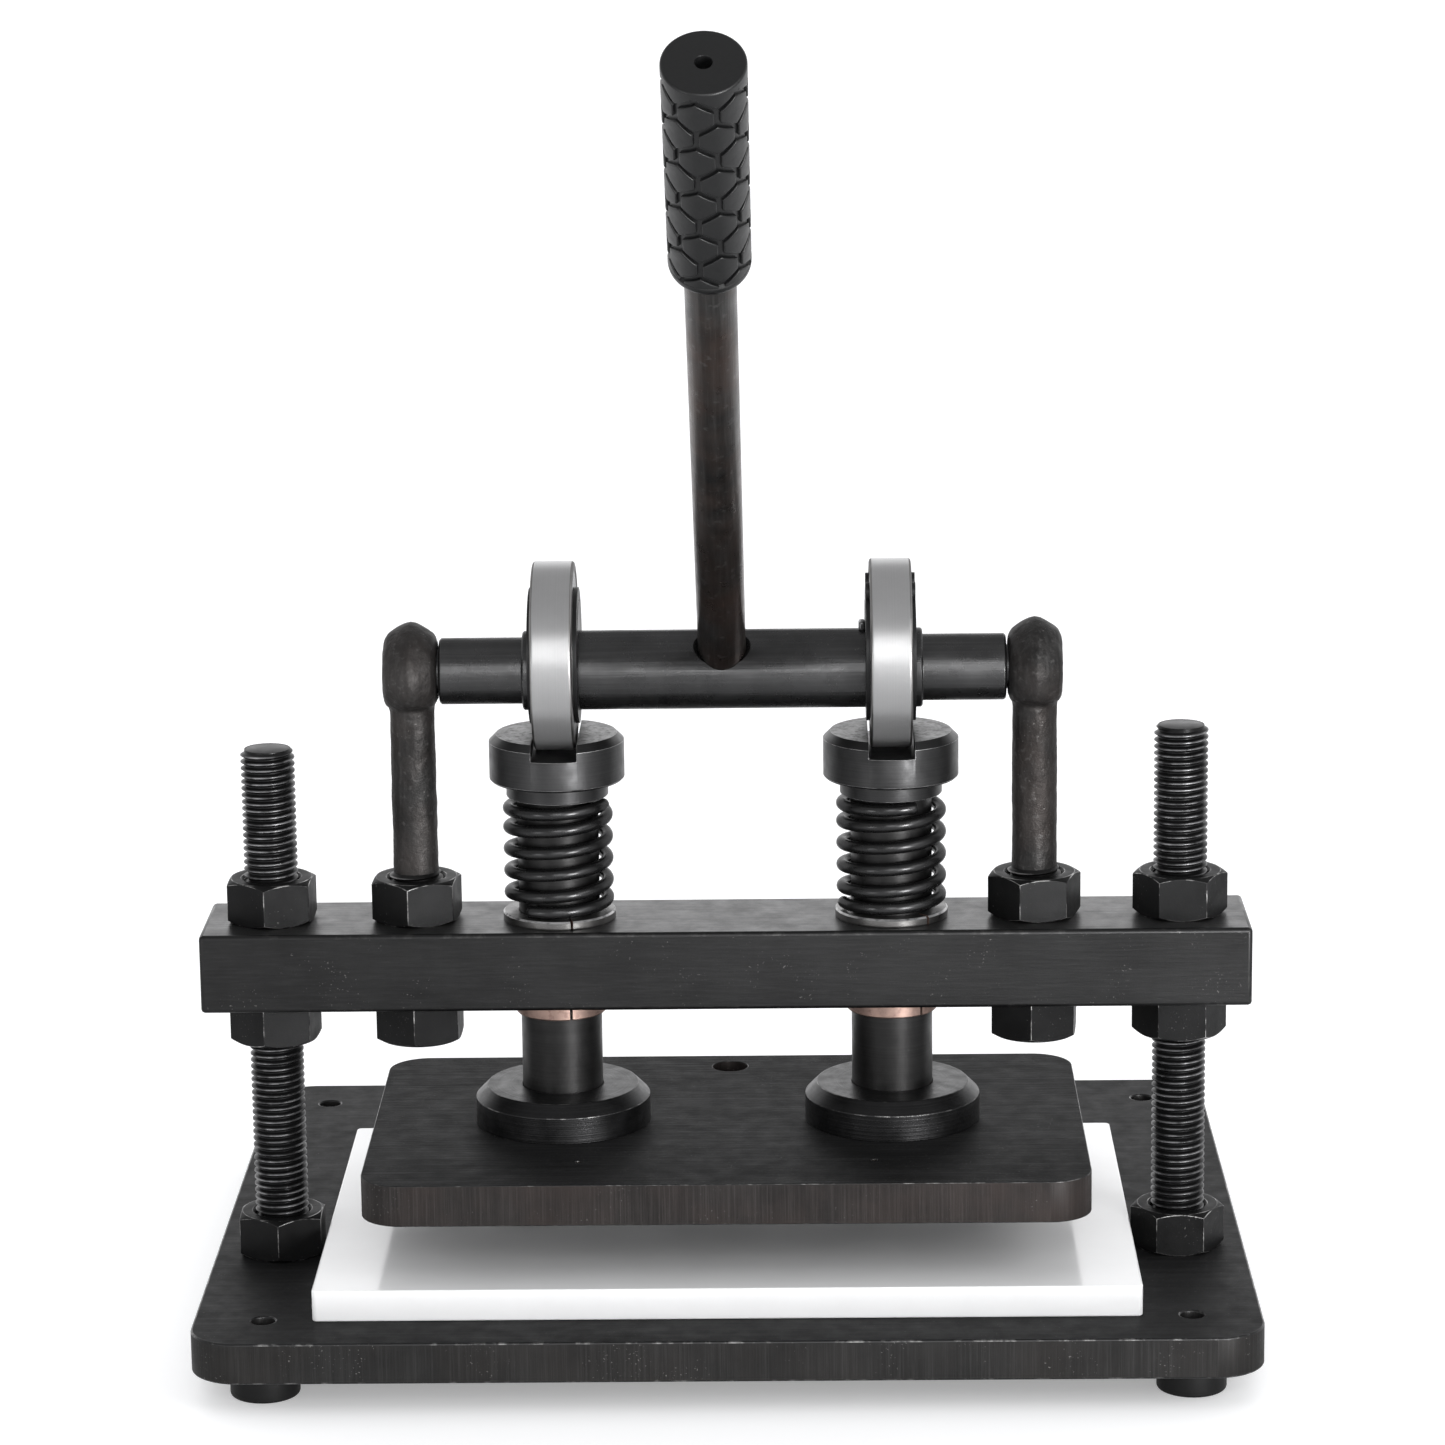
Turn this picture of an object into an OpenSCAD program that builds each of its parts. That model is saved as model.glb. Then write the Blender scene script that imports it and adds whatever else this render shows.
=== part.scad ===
// Hand lever press for die cutting and embossing.
// Two eccentrics on a cross shaft carry ball bearings that push two sprung plungers,
// and the plungers push a flat press plate down on a loose cutting board.
// The origin is on the table, at the middle of the overall box. +Z is up and the front
// is at -Y.

/* [Base] */
// How far behind the origin the plane of the two rods and of the lever's shaft stands
rods_y = 9.8; // [0:0.1:15]
// Width of the base plate, left to right
base_w = 380; // [360:1:420]
// Depth of the base plate, front to back
base_d = 310; // [290:1:360]
// Thickness of the base plate
base_t = 15; // [10:0.5:20]
// Corner radius of the base plate
base_r = 18; // [5:1:20]
// Distance of the foot holes from both edges
foot_inset = 25; // [20:1:30]
// Diameter of the foot holes
foot_hole_d = 8.5; // [8.5:0.1:10]
// Diameter of a rubber foot
foot_d = 25; // [18:0.5:32]
// Height of a rubber foot
foot_h = 12; // [8:0.5:20]
// Diameter of the stud in a foot
stud_d = 8; // [6:0.5:8]

/* [Cutting board] */
// Width of the cutting board
board_w = 295; // [260:1:295]
// Depth of the cutting board
board_d = 192; // [160:1:200]
// Thickness of the cutting board
board_t = 11.5; // [8:0.5:14]
// Distance of the board's front edge behind the front of the base
board_setback = 23; // [10:1:30]

/* [Threaded rods] */
// How far the middle of the base lies behind the plane of the rods
base_back = 52.5; // [40:0.5:60]
// Distance between the two threaded rods
rod_gap = 331; // [331:1:336]
// Crest diameter of the rod thread
rod_d = 19.6; // [18:0.1:19.8]
// Pitch of the rod thread
rod_pitch = 2.5; // [2:0.25:3]
// Height of the left rod's top above the table
rod_top_left = 218; // [200:1:240]
// Height of the right rod's top above the table
rod_top_right = 224; // [200:1:240]
// Width across flats of every nut
nut_af = 30; // [28:0.5:30]
// Height of every nut
nut_h = 16; // [12:0.5:16]

/* [Cross beam] */
// Length of the cross beam
beam_w = 380; // [376:1:400]
// Depth of the cross beam
beam_d = 48; // [42:1:60]
// Height of the cross beam
beam_h = 29; // [24:1:32]
// Height of the beam's top above the table
beam_top = 154; // [148:1:156]
// Chamfer on the beam's four upright corners
beam_c = 2; // [0.5:0.5:4]

/* [Eye bolts] */
// Distance of an eye bolt from the middle
eye_x = 112.5; // [111:0.5:116]
// Width of the forged eye
eye_w = 19.6; // [18:0.2:20]
// Outside radius of the forged eye
eye_r = 18; // [16:0.5:20]
// Diameter of the eye's hole
eye_hole = 16.4; // [16.2:0.1:17]
// Diameter of the plain shank above the thread
shank_d = 17.6; // [16:0.1:18]

/* [Press plate] */
// Width of the press plate
plate_w = 260; // [220:1:270]
// Depth of the press plate
plate_d = 158; // [120:1:180]
// Thickness of the press plate
plate_t = 15; // [12:0.5:18]
// Corner radius of the press plate
plate_r = 15; // [5:1:20]
// Height of the press plate's top above the table
plate_top = 77; // [74:1:80]
// Diameter of the hole near the plate's back edge
plate_hole_d = 13.5; // [8:0.5:16]
// Distance of that hole from the plate's back edge
plate_hole_inset = 14; // [12:1:20]

/* [Plungers] */
// Distance of a plunger from the middle
plunger_x = 60.5; // [58:0.5:64]
// Diameter of a plunger post
post_d = 29.5; // [28:0.1:30]
// Diameter of the flange at the foot of a post
flange_d = 64; // [50:1:70]
// Height of that flange
flange_h = 14; // [10:0.5:16]
// Chamfer round the top of that flange
flange_c = 4.3; // [1:0.1:6]
// Diameter of the cap on top of a post
cap_d = 49; // [46:0.5:52]
// Height of the cap above its neck
cap_h = 17; // [16:0.5:20]
// Chamfer round the top of the cap
cap_c = 2.6; // [1:0.1:4]
// Width of the slot that the bearing runs in
slot_w = 16.6; // [16:0.1:18]
// Diameter of the neck under the cap
neck_d = 37; // [34:0.5:40]
// Height of the neck under the cap
neck_h = 6; // [2:0.5:8]

/* [Guide bushes] */
// Outside diameter of a bush in the beam
bush_d = 33.2; // [32:0.1:35]
// Diameter of the bush flange
bush_flange_d = 41; // [38:0.5:44]
// Thickness of the bush flange
bush_flange_t = 3.2; // [2:0.2:4]
// How far the bush stands out under the beam
bush_below = 6; // [2:0.5:10]
// Running clearance between bush and post, on the diameter
bush_play = 0.4; // [0.3:0.1:0.6]

/* [Springs] */
// Outside diameter of a spring
spring_d = 40; // [38:0.5:42]
// Diameter of the spring wire
wire_d = 4.4; // [3.5:0.1:4.6]
// Number of turns, the closed end turns included
spring_turns = 5.3; // [4:0.1:7]

/* [Cam shaft] */
// Height of the shaft's axis above the table
shaft_z = 246; // [245:0.5:247]
// Diameter of the middle of the shaft
shaft_d = 28.6; // [28:0.1:28.8]
// Half the length of the middle of the shaft
shaft_half = 72; // [71:0.5:76]
// Diameter of the stepped-down ends
stub_d = 24; // [20:0.5:26]
// Diameter of the pins that turn in the eyes
pin_d = 16; // [14:0.1:16]
// Offset of the eccentrics from the shaft's axis
cam_e = 5.5; // [4:0.1:5.6]

/* [Bearings] */
// Bore of a bearing, which is the diameter of the eccentric
brg_bore = 40; // [40:1:41]
// Outside diameter of a bearing
brg_od = 68; // [68:1:68]
// Width of a bearing
brg_w = 15; // [14:0.5:15]
// Outside diameter of the retaining rings
clip_d = 49; // [46:0.5:50]
// Thickness of the retaining rings
clip_t = 1.4; // [1:0.1:1.8]
// Number of balls in a bearing
ball_n = 14; // [10:1:18]

/* [Handle] */
// Length from the shaft's axis to the end of the grip
handle_len = 322; // [240:1:340]
// Lean of the handle from upright, towards the front
handle_lean = 42.5; // [20:0.5:50]
// Diameter of the handle bar
handle_d = 17.2; // [14:0.1:18]
// Diameter of the grip
grip_d = 27.2; // [24:0.1:32]
// Length of the grip
grip_len = 98; // [80:1:120]
// Diameter of the hole in the end of the grip
grip_hole = 5.4; // [3:0.1:8]

/* [Hidden] */
$fn = 96;
base_top = foot_h + base_t;
rod_x = rod_gap / 2;
beam_bottom = beam_top - beam_h;
board_y = base_back - base_d / 2 + board_setback + board_d / 2;
foot_x = base_w / 2 - foot_inset;
foot_y = base_d / 2 - foot_inset;
board_top = base_top + board_t;
plate_bottom = plate_top - plate_t;
cam_z = shaft_z + cam_e;
slot_floor = cam_z - brg_od / 2 - 0.3;
cap_top = slot_floor + 5.8;
cap_bottom = cap_top - cap_h;
neck_bottom = cap_bottom - neck_h;
post_top = slot_floor - 4;
bush_top = beam_top + bush_flange_t;
spring_bottom = bush_top + 0.3;
nut_ac = nut_af / cos(30);
race_in_d = brg_bore + 7;
race_out_d = brg_od - 7;

// ---- shapes that repeat ----

// Flat plate with round corners, its underside at z = 0
module round_plate(w, d, t, r) {
    linear_extrude(height = t) union() {
        square([w - 2 * r, d], center = true);
        square([w, d - 2 * r], center = true);
        for (x = [-1, 1], y = [-1, 1])
            translate([x * (w / 2 - r), y * (d / 2 - r)]) circle(r);
    }
}

// Screw rod with grooves at the thread pitch from z = 0 to z = len, both ends chamfered
module grooved_rod(d, len, pitch, depth = 1.2) {
    n = floor((len - 4) / pitch);
    z0 = (len - n * pitch) / 2;
    rotate_extrude() polygon(concat(
        [[0, 0], [d / 2 - 1.5, 0], [d / 2, 1.5]],
        [for (i = [0 : n - 1], k = [0 : 3])
            [k == 2 || k == 3 ? d / 2 - depth : d / 2,
             z0 + pitch * (i + [0.06, 0.2, 0.56, 0.7][k])]],
        [[d / 2, len - 1.5], [d / 2 - 1.5, len], [0, len]]));
}

// Hexagon nut with its underside at z = 0, both faces chamfered at 30 degrees
module hex_nut(bore, turn = 0) {
    c = (nut_ac / 2 + 0.6 - nut_af / 2 * 0.98) * tan(30);
    difference() {
        intersection() {
            rotate(turn) cylinder(d = nut_ac, h = nut_h, $fn = 6);
            rotate_extrude() polygon([[0, 0], [nut_af / 2 * 0.98, 0],
                [nut_ac / 2 + 0.6, c], [nut_ac / 2 + 0.6, nut_h - c],
                [nut_af / 2 * 0.98, nut_h], [0, nut_h]]);
        }
        translate([0, 0, -1]) cylinder(d = bore, h = nut_h + 2);
    }
}

// Rod along X with its middle at x
module x_rod(d, x, len, z = shaft_z) {
    translate([x - len / 2, 0, z]) rotate([0, 90, 0]) cylinder(d = d, h = len);
}

// Ring along X: outside diameter, hole, middle, width
module x_ring(d, hole, x, w, z = cam_z) {
    translate([x, 0, z]) rotate([0, 90, 0]) difference() {
        cylinder(d = d, h = w, center = true);
        cylinder(d = hole, h = w + 2, center = true);
    }
}

// ---- base ----

module base_plate() {
    color("#3a3b3c") translate([0, rods_y, 0]) difference() {
        translate([0, base_back, foot_h]) round_plate(base_w, base_d, base_t, base_r);
        for (x = [-1, 1], y = [-1, 1])
            translate([x * foot_x, base_back + y * foot_y, foot_h - 1])
                cylinder(d = foot_hole_d, h = base_t + 2);
        for (x = [-1, 1])
            translate([x * rod_x, 0, foot_h - 1]) cylinder(d = rod_d, h = base_t + 2);
    }
}

module foot(x, y) {
    color("#1b1b1c") translate([0, rods_y, 0]) translate([x * foot_x, base_back + y * foot_y, 0])
        difference() {
            rotate_extrude() polygon([[0, 0], [foot_d / 2 - 1, 0], [foot_d / 2, 1],
                [foot_d / 2, foot_h - 0.8], [foot_d / 2 - 0.8, foot_h], [0, foot_h]]);
            translate([0, 0, 4]) cylinder(d = stud_d, h = foot_h);
        }
}

module foot_front_left() foot(-1, -1);
module foot_front_right() foot(1, -1);
module foot_rear_left() foot(-1, 1);
module foot_rear_right() foot(1, 1);

module foot_studs() {
    color("#555555") translate([0, rods_y, 0]) for (x = [-1, 1], y = [-1, 1])
        translate([x * foot_x, base_back + y * foot_y, 4]) {
            cylinder(d = stud_d, h = base_top - 8);
            translate([0, 0, base_top - 8]) cylinder(d1 = stud_d, d2 = stud_d - 2, h = 1);
        }
}

module cutting_board() {
    color("#eef0f1") translate([0, rods_y, 0]) translate([0, board_y, base_top])
        linear_extrude(height = board_t) union() {
            square([board_w - 4, board_d], center = true);
            square([board_w, board_d - 4], center = true);
            for (x = [-1, 1], y = [-1, 1])
                translate([x * (board_w / 2 - 2), y * (board_d / 2 - 2)]) circle(2, $fn = 32);
        }
}

// ---- rods, beam and nuts ----

module rod(x, top) {
    color("#434445") translate([0, rods_y, 0]) translate([x * rod_x, 0, foot_h])
        grooved_rod(rod_d, top - foot_h, rod_pitch);
}

module rod_left() rod(-1, rod_top_left);
module rod_right() rod(1, rod_top_right);

module base_nuts() {
    color("#3c3d3e") translate([0, rods_y, 0]) {
        translate([-rod_x, 0, base_top]) hex_nut(rod_d, 30);
        translate([rod_x, 0, base_top]) hex_nut(rod_d, 0);
    }
}

module rod_nuts_lower() {
    color("#3c3d3e") translate([0, rods_y, 0]) {
        translate([-rod_x, 0, beam_bottom - nut_h]) hex_nut(rod_d + 0.3, 21);
        translate([rod_x, 0, beam_bottom - nut_h]) hex_nut(rod_d + 0.3, 0);
    }
}

module rod_nuts_upper() {
    color("#3c3d3e") translate([0, rods_y, 0]) {
        translate([-rod_x, 0, beam_top]) hex_nut(rod_d + 0.3, 26);
        translate([rod_x, 0, beam_top]) hex_nut(rod_d + 0.3, 0);
    }
}

module cross_beam() {
    w = beam_w / 2;
    d = beam_d / 2;
    color("#2e2f31") translate([0, rods_y, 0]) translate([0, 0, beam_bottom]) difference() {
        linear_extrude(height = beam_h) polygon([[-w + beam_c, -d], [w - beam_c, -d],
            [w, -d + beam_c], [w, d - beam_c], [w - beam_c, d], [-w + beam_c, d],
            [-w, d - beam_c], [-w, -d + beam_c]]);
        for (x = [-1, 1], z = [-1]) {
            translate([x * rod_x, 0, z]) cylinder(d = rod_d + 1.4, h = beam_h + 2);
            translate([x * eye_x, 0, z]) cylinder(d = rod_d + 0.4, h = beam_h + 2);
            translate([x * plunger_x, 0, z]) cylinder(d = bush_d, h = beam_h + 2);
        }
    }
}

// ---- eye bolts ----

module eye_bolt(x) {
    foot = beam_bottom - nut_h;
    thread = beam_top + nut_h + 2 - foot;
    h = eye_w / 2;
    color("#3b3733") translate([0, rods_y, 0]) translate([x * eye_x, 0, 0]) difference() {
        union() {
            translate([0, 0, foot]) grooved_rod(rod_d, thread, rod_pitch);
            translate([0, 0, foot + thread - 1])
                cylinder(d1 = shank_d, d2 = shank_d - 1.5, h = shaft_z - 11 - foot - thread);
            translate([0, 0, shaft_z]) rotate([0, 90, 0]) rotate(90) rotate_extrude() polygon([
                [eye_hole / 2 - 2, -h], [12, -h], [eye_r - 3.2, -h + 3], [eye_r - 0.8, -3.6],
                [eye_r, -1.2], [eye_r, 1.2], [eye_r - 0.8, 3.6], [eye_r - 3.2, h - 3],
                [12, h], [eye_hole / 2 - 2, h]]);
        }
        translate([-h - 1, 0, shaft_z]) rotate([0, 90, 0]) rotate(90)
            cylinder(d = eye_hole, h = eye_w + 2);
    }
}

module eye_bolt_left() eye_bolt(-1);
module eye_bolt_right() eye_bolt(1);

module eye_nuts_lower() {
    color("#3c3d3e") translate([0, rods_y, 0]) {
        translate([-eye_x, 0, beam_bottom - nut_h]) hex_nut(rod_d, 27);
        translate([eye_x, 0, beam_bottom - nut_h]) hex_nut(rod_d, 24);
    }
}

module eye_nuts_upper() {
    color("#3c3d3e") translate([0, rods_y, 0]) {
        translate([-eye_x, 0, beam_top]) hex_nut(rod_d, 23);
        translate([eye_x, 0, beam_top]) hex_nut(rod_d, 10);
    }
}

// ---- guide bushes, split along one side ----

module bush(x, split) {
    color("#b98a78") translate([0, rods_y, 0]) translate([x * plunger_x, 0, 0]) difference() {
        union() {
            translate([0, 0, beam_bottom - bush_below])
                cylinder(d = bush_d, h = beam_h + bush_below);
            translate([0, 0, beam_top]) cylinder(d = bush_flange_d, h = bush_flange_t);
        }
        translate([0, 0, beam_bottom - bush_below - 1])
            cylinder(d = post_d + bush_play, h = beam_h + bush_below + bush_flange_t + 2);
        rotate(split) translate([-0.5, -30, beam_bottom - bush_below - 1])
            cube([1, 30, beam_h + bush_below + bush_flange_t + 2]);
    }
}

module bush_left() bush(-1, 15);
module bush_right() bush(1, 39);

// ---- press plate and plungers ----

module press_plate() {
    color("#37332f") translate([0, rods_y, 0]) difference() {
        translate([0, 0, plate_bottom]) round_plate(plate_w, plate_d, plate_t, plate_r);
        translate([0, plate_d / 2 - plate_hole_inset, plate_bottom - 1])
            cylinder(d = plate_hole_d, h = plate_t + 2);
        for (x = [-1, 1])
            translate([x * plunger_x, 0, plate_top - 8]) cylinder(d = post_d, h = 9);
    }
}

module flange(x) {
    color("#57575a") translate([0, rods_y, 0]) translate([x * plunger_x, 0, plate_top]) rotate_extrude()
        polygon([[post_d / 2, 0], [flange_d / 2, 0], [flange_d / 2, flange_h - flange_c],
            [flange_d / 2 - flange_c, flange_h], [post_d / 2, flange_h]]);
}

module flange_left() flange(-1);
module flange_right() flange(1);

module post(x) {
    color("#4a4a4b") translate([0, rods_y, 0]) translate([x * plunger_x, 0, plate_top - 8])
        cylinder(d = post_d, h = post_top - plate_top + 8);
}

module post_left() post(-1);
module post_right() post(1);

module cap(x) {
    color("#4d4d4f") translate([0, rods_y, 0]) translate([x * plunger_x, 0, 0]) difference() {
        translate([0, 0, neck_bottom]) rotate_extrude() polygon([[0, 0], [neck_d / 2, 0],
            [neck_d / 2, neck_h], [cap_d / 2 - 0.8, neck_h], [cap_d / 2, neck_h + 0.8],
            [cap_d / 2, neck_h + cap_h - cap_c], [cap_d / 2 - cap_c, neck_h + cap_h],
            [0, neck_h + cap_h]]);
        translate([0, 0, neck_bottom - 1]) cylinder(d = post_d, h = post_top - neck_bottom + 1);
        translate([-slot_w / 2, -cap_d, slot_floor]) cube([slot_w, 2 * cap_d, 20]);
    }
}

module cap_left() cap(-1);
module cap_right() cap(1);

// ---- springs ----

spring_n = 24;
spring_sides = 8;
spring_len = neck_bottom - 0.3 - spring_bottom - wire_d;
end_turns = 0.75;
end_pitch = wire_d * 1.05;
mid_pitch = (spring_len - 2 * end_turns * end_pitch) / (spring_turns - 2 * end_turns);

// Height along the coil after t turns: the turns are closed at both ends
function coil_z(t) = t < end_turns ? end_pitch * t
    : t < spring_turns - end_turns ? end_pitch * end_turns + mid_pitch * (t - end_turns)
    : spring_len - end_pitch * (spring_turns - t);

module coil(start) {
    r = (spring_d - wire_d) / 2;
    steps = floor(spring_turns * spring_n);
    points = [for (i = [0 : steps], k = [0 : spring_sides - 1])
        let (t = spring_turns * i / steps, a = start + 360 * t, b = 360 * k / spring_sides,
            q = r + wire_d / 2 * cos(b))
        [q * cos(a), q * sin(a), coil_z(t) + wire_d / 2 * sin(b)]];
    m = spring_sides;
    faces = concat(
        [for (i = [0 : steps - 1], k = [0 : m - 1])
            [i * m + k, i * m + (k + 1) % m, (i + 1) * m + (k + 1) % m, (i + 1) * m + k]],
        [[for (k = [m - 1 : -1 : 0]) k]],
        [[for (k = [0 : m - 1]) steps * m + k]]);
    polyhedron(points = points, faces = faces, convexity = 10);
}

module spring(x, start) {
    color("#202021") translate([0, rods_y, 0]) translate([x * plunger_x, 0, spring_bottom + wire_d / 2]) coil(start);
}

module spring_left() spring(-1, 235);
module spring_right() spring(1, 191);

// ---- cam shaft with its two eccentrics, bearings and retaining rings ----

module cam_shaft() {
    w = brg_w + 2 * clip_t + 0.4;
    color("#39393b") translate([0, rods_y, 0]) difference() {
        union() {
            x_rod(shaft_d, 0, 2 * shaft_half);
            x_rod(stub_d, 0, 2 * (eye_x - eye_w / 2 - 0.7));
            x_rod(pin_d, 0, 2 * (eye_x + eye_w / 2 - 1));
            for (x = [-1, 1]) x_rod(brg_bore, x * plunger_x, w, cam_z);
        }
        translate([0, 0, shaft_z]) rotate([handle_lean, 0, 0]) {
            translate([0, 0, -10]) cylinder(d = handle_d, h = 60);
            translate([0, 0, shaft_d / 2 - 1.6]) cylinder(d1 = handle_d, d2 = handle_d + 6, h = 4);
        }
    }
}

// End of the key that stands out beside the right-hand eccentric
module cam_key() {
    x1 = plunger_x - brg_w / 2 - clip_t - 0.2;
    color("#39393b") translate([0, rods_y, 0]) difference() {
        translate([x1 - 4.2, -3, shaft_z + 8]) cube([4.2, 6, 9.8]);
        x_rod(shaft_d, 0, 2 * shaft_half);
    }
}

module bearing_inner(x) {
    color("#c9cacc") translate([0, rods_y, 0]) x_ring(race_in_d, brg_bore, x * plunger_x, brg_w);
}

module bearing_inner_left() bearing_inner(-1);
module bearing_inner_right() bearing_inner(1);

module bearing_balls(x) {
    r = (race_out_d - race_in_d) / 4 - 0.1;
    color("#d8d8da") translate([0, rods_y, 0]) translate([x * plunger_x, 0, cam_z]) rotate([0, 90, 0])
        for (i = [0 : ball_n - 1]) rotate(i * 360 / ball_n)
            translate([(race_out_d + race_in_d) / 4, 0, 0]) sphere(r = r, $fn = 48);
}

module bearing_balls_left() bearing_balls(-1);
module bearing_balls_right() bearing_balls(1);

module bearing_outer(x) {
    c = 1.1;
    color("#d2d3d5") translate([0, rods_y, 0]) translate([x * plunger_x, 0, cam_z]) rotate([0, 90, 0])
        translate([0, 0, -brg_w / 2]) rotate_extrude() polygon([[race_out_d / 2, 0],
            [brg_od / 2 - c, 0], [brg_od / 2 - 0.3, 0.35], [brg_od / 2, c],
            [brg_od / 2, brg_w - c], [brg_od / 2 - 0.3, brg_w - 0.35],
            [brg_od / 2 - c, brg_w], [race_out_d / 2, brg_w]]);
}

module bearing_outer_left() bearing_outer(-1);
module bearing_outer_right() bearing_outer(1);

module bearing_shields(x) {
    color("#8e8f92") translate([0, rods_y, 0]) for (s = [-1, 1])
        x_ring(race_out_d, race_in_d + 0.6, x * plunger_x + s * (brg_w / 2 - 0.8), 1);
}

module bearing_shields_left() bearing_shields(-1);
module bearing_shields_right() bearing_shields(1);

// Retaining ring with its gap and two eyes at the angle turn from the top
module retaining_ring(x, turn) {
    r = brg_bore / 2 + 5.6;
    translate([x, 0, cam_z]) rotate([turn, 0, 0]) rotate([0, 90, 0]) difference() {
        union() {
            cylinder(d = clip_d, h = clip_t, center = true);
            for (s = [-1, 1]) rotate(180 + s * 12) translate([r, 0, 0])
                cylinder(r = 3.4, h = clip_t, center = true, $fn = 48);
        }
        cylinder(d = brg_bore, h = clip_t + 2, center = true);
        translate([-r, 0, 0]) cube([14, 4, clip_t + 2], center = true);
        for (s = [-1, 1]) rotate(180 + s * 12) translate([r, 0, 0])
            cylinder(d = 2.4, h = clip_t + 2, center = true, $fn = 32);
    }
}

module retaining_rings(x, turn) {
    color("#4b4b4d") translate([0, rods_y, 0]) for (s = [-1, 1])
        retaining_ring(x * plunger_x + s * (brg_w + clip_t) / 2, turn);
}

module retaining_rings_left() retaining_rings(-1, 250);
module retaining_rings_right() retaining_rings(1, 8);

// ---- handle ----

module handle_bar() {
    color("#3b352f") translate([0, rods_y, 0]) translate([0, 0, shaft_z]) rotate([handle_lean, 0, 0])
        translate([0, 0, -10]) cylinder(d = handle_d, h = handle_len + 10 - 6);
}

module handle_grip() {
    r = grip_d / 2;
    c = 4.6;
    e = 1;
    color("#1d1e1f") translate([0, rods_y, 0]) translate([0, 0, shaft_z]) rotate([handle_lean, 0, 0])
        translate([0, 0, handle_len - grip_len]) rotate_extrude() polygon(concat(
            [[handle_d / 2, 0], [r - c, 0]],
            [for (a = [-75 : 15 : 0]) [r - c + c * cos(a), c + c * sin(a)]],
            [for (a = [0 : 15 : 75]) [r - e + e * cos(a), grip_len - e + e * sin(a)]],
            [[r - e, grip_len], [grip_hole / 2, grip_len], [grip_hole / 2, grip_len - 6],
             [handle_d / 2, grip_len - 6]]));
}

base_plate();
foot_front_left();
foot_front_right();
foot_rear_left();
foot_rear_right();
foot_studs();
cutting_board();
rod_left();
rod_right();
base_nuts();
rod_nuts_lower();
rod_nuts_upper();
cross_beam();
eye_bolt_left();
eye_bolt_right();
eye_nuts_lower();
eye_nuts_upper();
bush_left();
bush_right();
press_plate();
flange_left();
flange_right();
post_left();
post_right();
cap_left();
cap_right();
spring_left();
spring_right();
cam_shaft();
cam_key();
bearing_inner_left();
bearing_inner_right();
bearing_balls_left();
bearing_balls_right();
bearing_outer_left();
bearing_outer_right();
bearing_shields_left();
bearing_shields_right();
retaining_rings_left();
retaining_rings_right();
handle_bar();
handle_grip();
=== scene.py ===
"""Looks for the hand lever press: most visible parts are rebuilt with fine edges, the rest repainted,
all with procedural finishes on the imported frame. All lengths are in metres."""

import math

import bmesh
import bpy
from mathutils import Matrix, Vector


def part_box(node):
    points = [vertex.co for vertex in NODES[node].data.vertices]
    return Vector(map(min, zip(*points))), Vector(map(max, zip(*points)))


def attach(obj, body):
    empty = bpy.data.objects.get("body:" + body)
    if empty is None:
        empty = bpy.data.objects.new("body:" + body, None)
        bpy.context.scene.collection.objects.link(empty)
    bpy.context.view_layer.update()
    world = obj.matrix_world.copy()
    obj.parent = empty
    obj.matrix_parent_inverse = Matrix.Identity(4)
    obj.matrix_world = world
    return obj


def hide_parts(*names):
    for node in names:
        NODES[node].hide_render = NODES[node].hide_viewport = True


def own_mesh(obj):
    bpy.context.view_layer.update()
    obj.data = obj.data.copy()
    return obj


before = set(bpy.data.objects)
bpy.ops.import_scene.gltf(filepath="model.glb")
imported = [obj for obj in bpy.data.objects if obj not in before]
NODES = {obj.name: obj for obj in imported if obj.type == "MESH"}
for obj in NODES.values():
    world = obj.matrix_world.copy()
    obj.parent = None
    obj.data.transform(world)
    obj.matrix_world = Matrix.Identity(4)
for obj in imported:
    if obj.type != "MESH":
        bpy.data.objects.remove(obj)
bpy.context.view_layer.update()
RY = (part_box("rod_left")[0].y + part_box("rod_left")[1].y) / 2  # the plane of the rods
MM = 0.001
PI = math.pi
PLUNGER_X, EYE_X, ROD_X = 0.0605, 0.1125, 0.1655  # half the distance between each pair
SHAFT_Z, CAM_Z = 0.246, 0.2515  # axes of the shaft and of its eccentrics
LEAN = math.radians(42.5)  # how far the handle leans forward
POST_R = 14.75 * MM
BAR_R = 8.6 * MM
THREAD = dict(r=9.8 * MM, pitch=2.5 * MM, depth=1.45 * MM, chamfer=1.5 * MM)  # M20, a little worn
FACE = 400 * MM * MM  # faces larger than this are machined flats
THROUGH = 0.01  # how far a cutter stands out of what it cuts
SIDES = (("left", -1), ("right", 1))


# ---------------------------------------------------------------- mesh tools


def new_object(name, verts, faces):
    me = bpy.data.meshes.new(name)
    me.from_pydata([tuple(v) for v in verts], [], faces)
    me.update()
    ob = bpy.data.objects.new(name, me)
    bpy.context.scene.collection.objects.link(ob)
    me.polygons.foreach_set("use_smooth", [True] * len(me.polygons))
    return ob


def fix_normals(ob):
    bm = bmesh.new()
    bm.from_mesh(ob.data)
    bmesh.ops.recalc_face_normals(bm, faces=bm.faces)
    bm.to_mesh(ob.data)
    bm.free()
    return ob


def bake(ob):
    """Applies the object's modifiers to its mesh."""
    bpy.context.view_layer.update()
    dg = bpy.context.evaluated_depsgraph_get()
    me = bpy.data.meshes.new_from_object(ob.evaluated_get(dg))
    ob.modifiers.clear()
    old = ob.data
    ob.data = me
    bpy.data.meshes.remove(old)
    return ob


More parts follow.
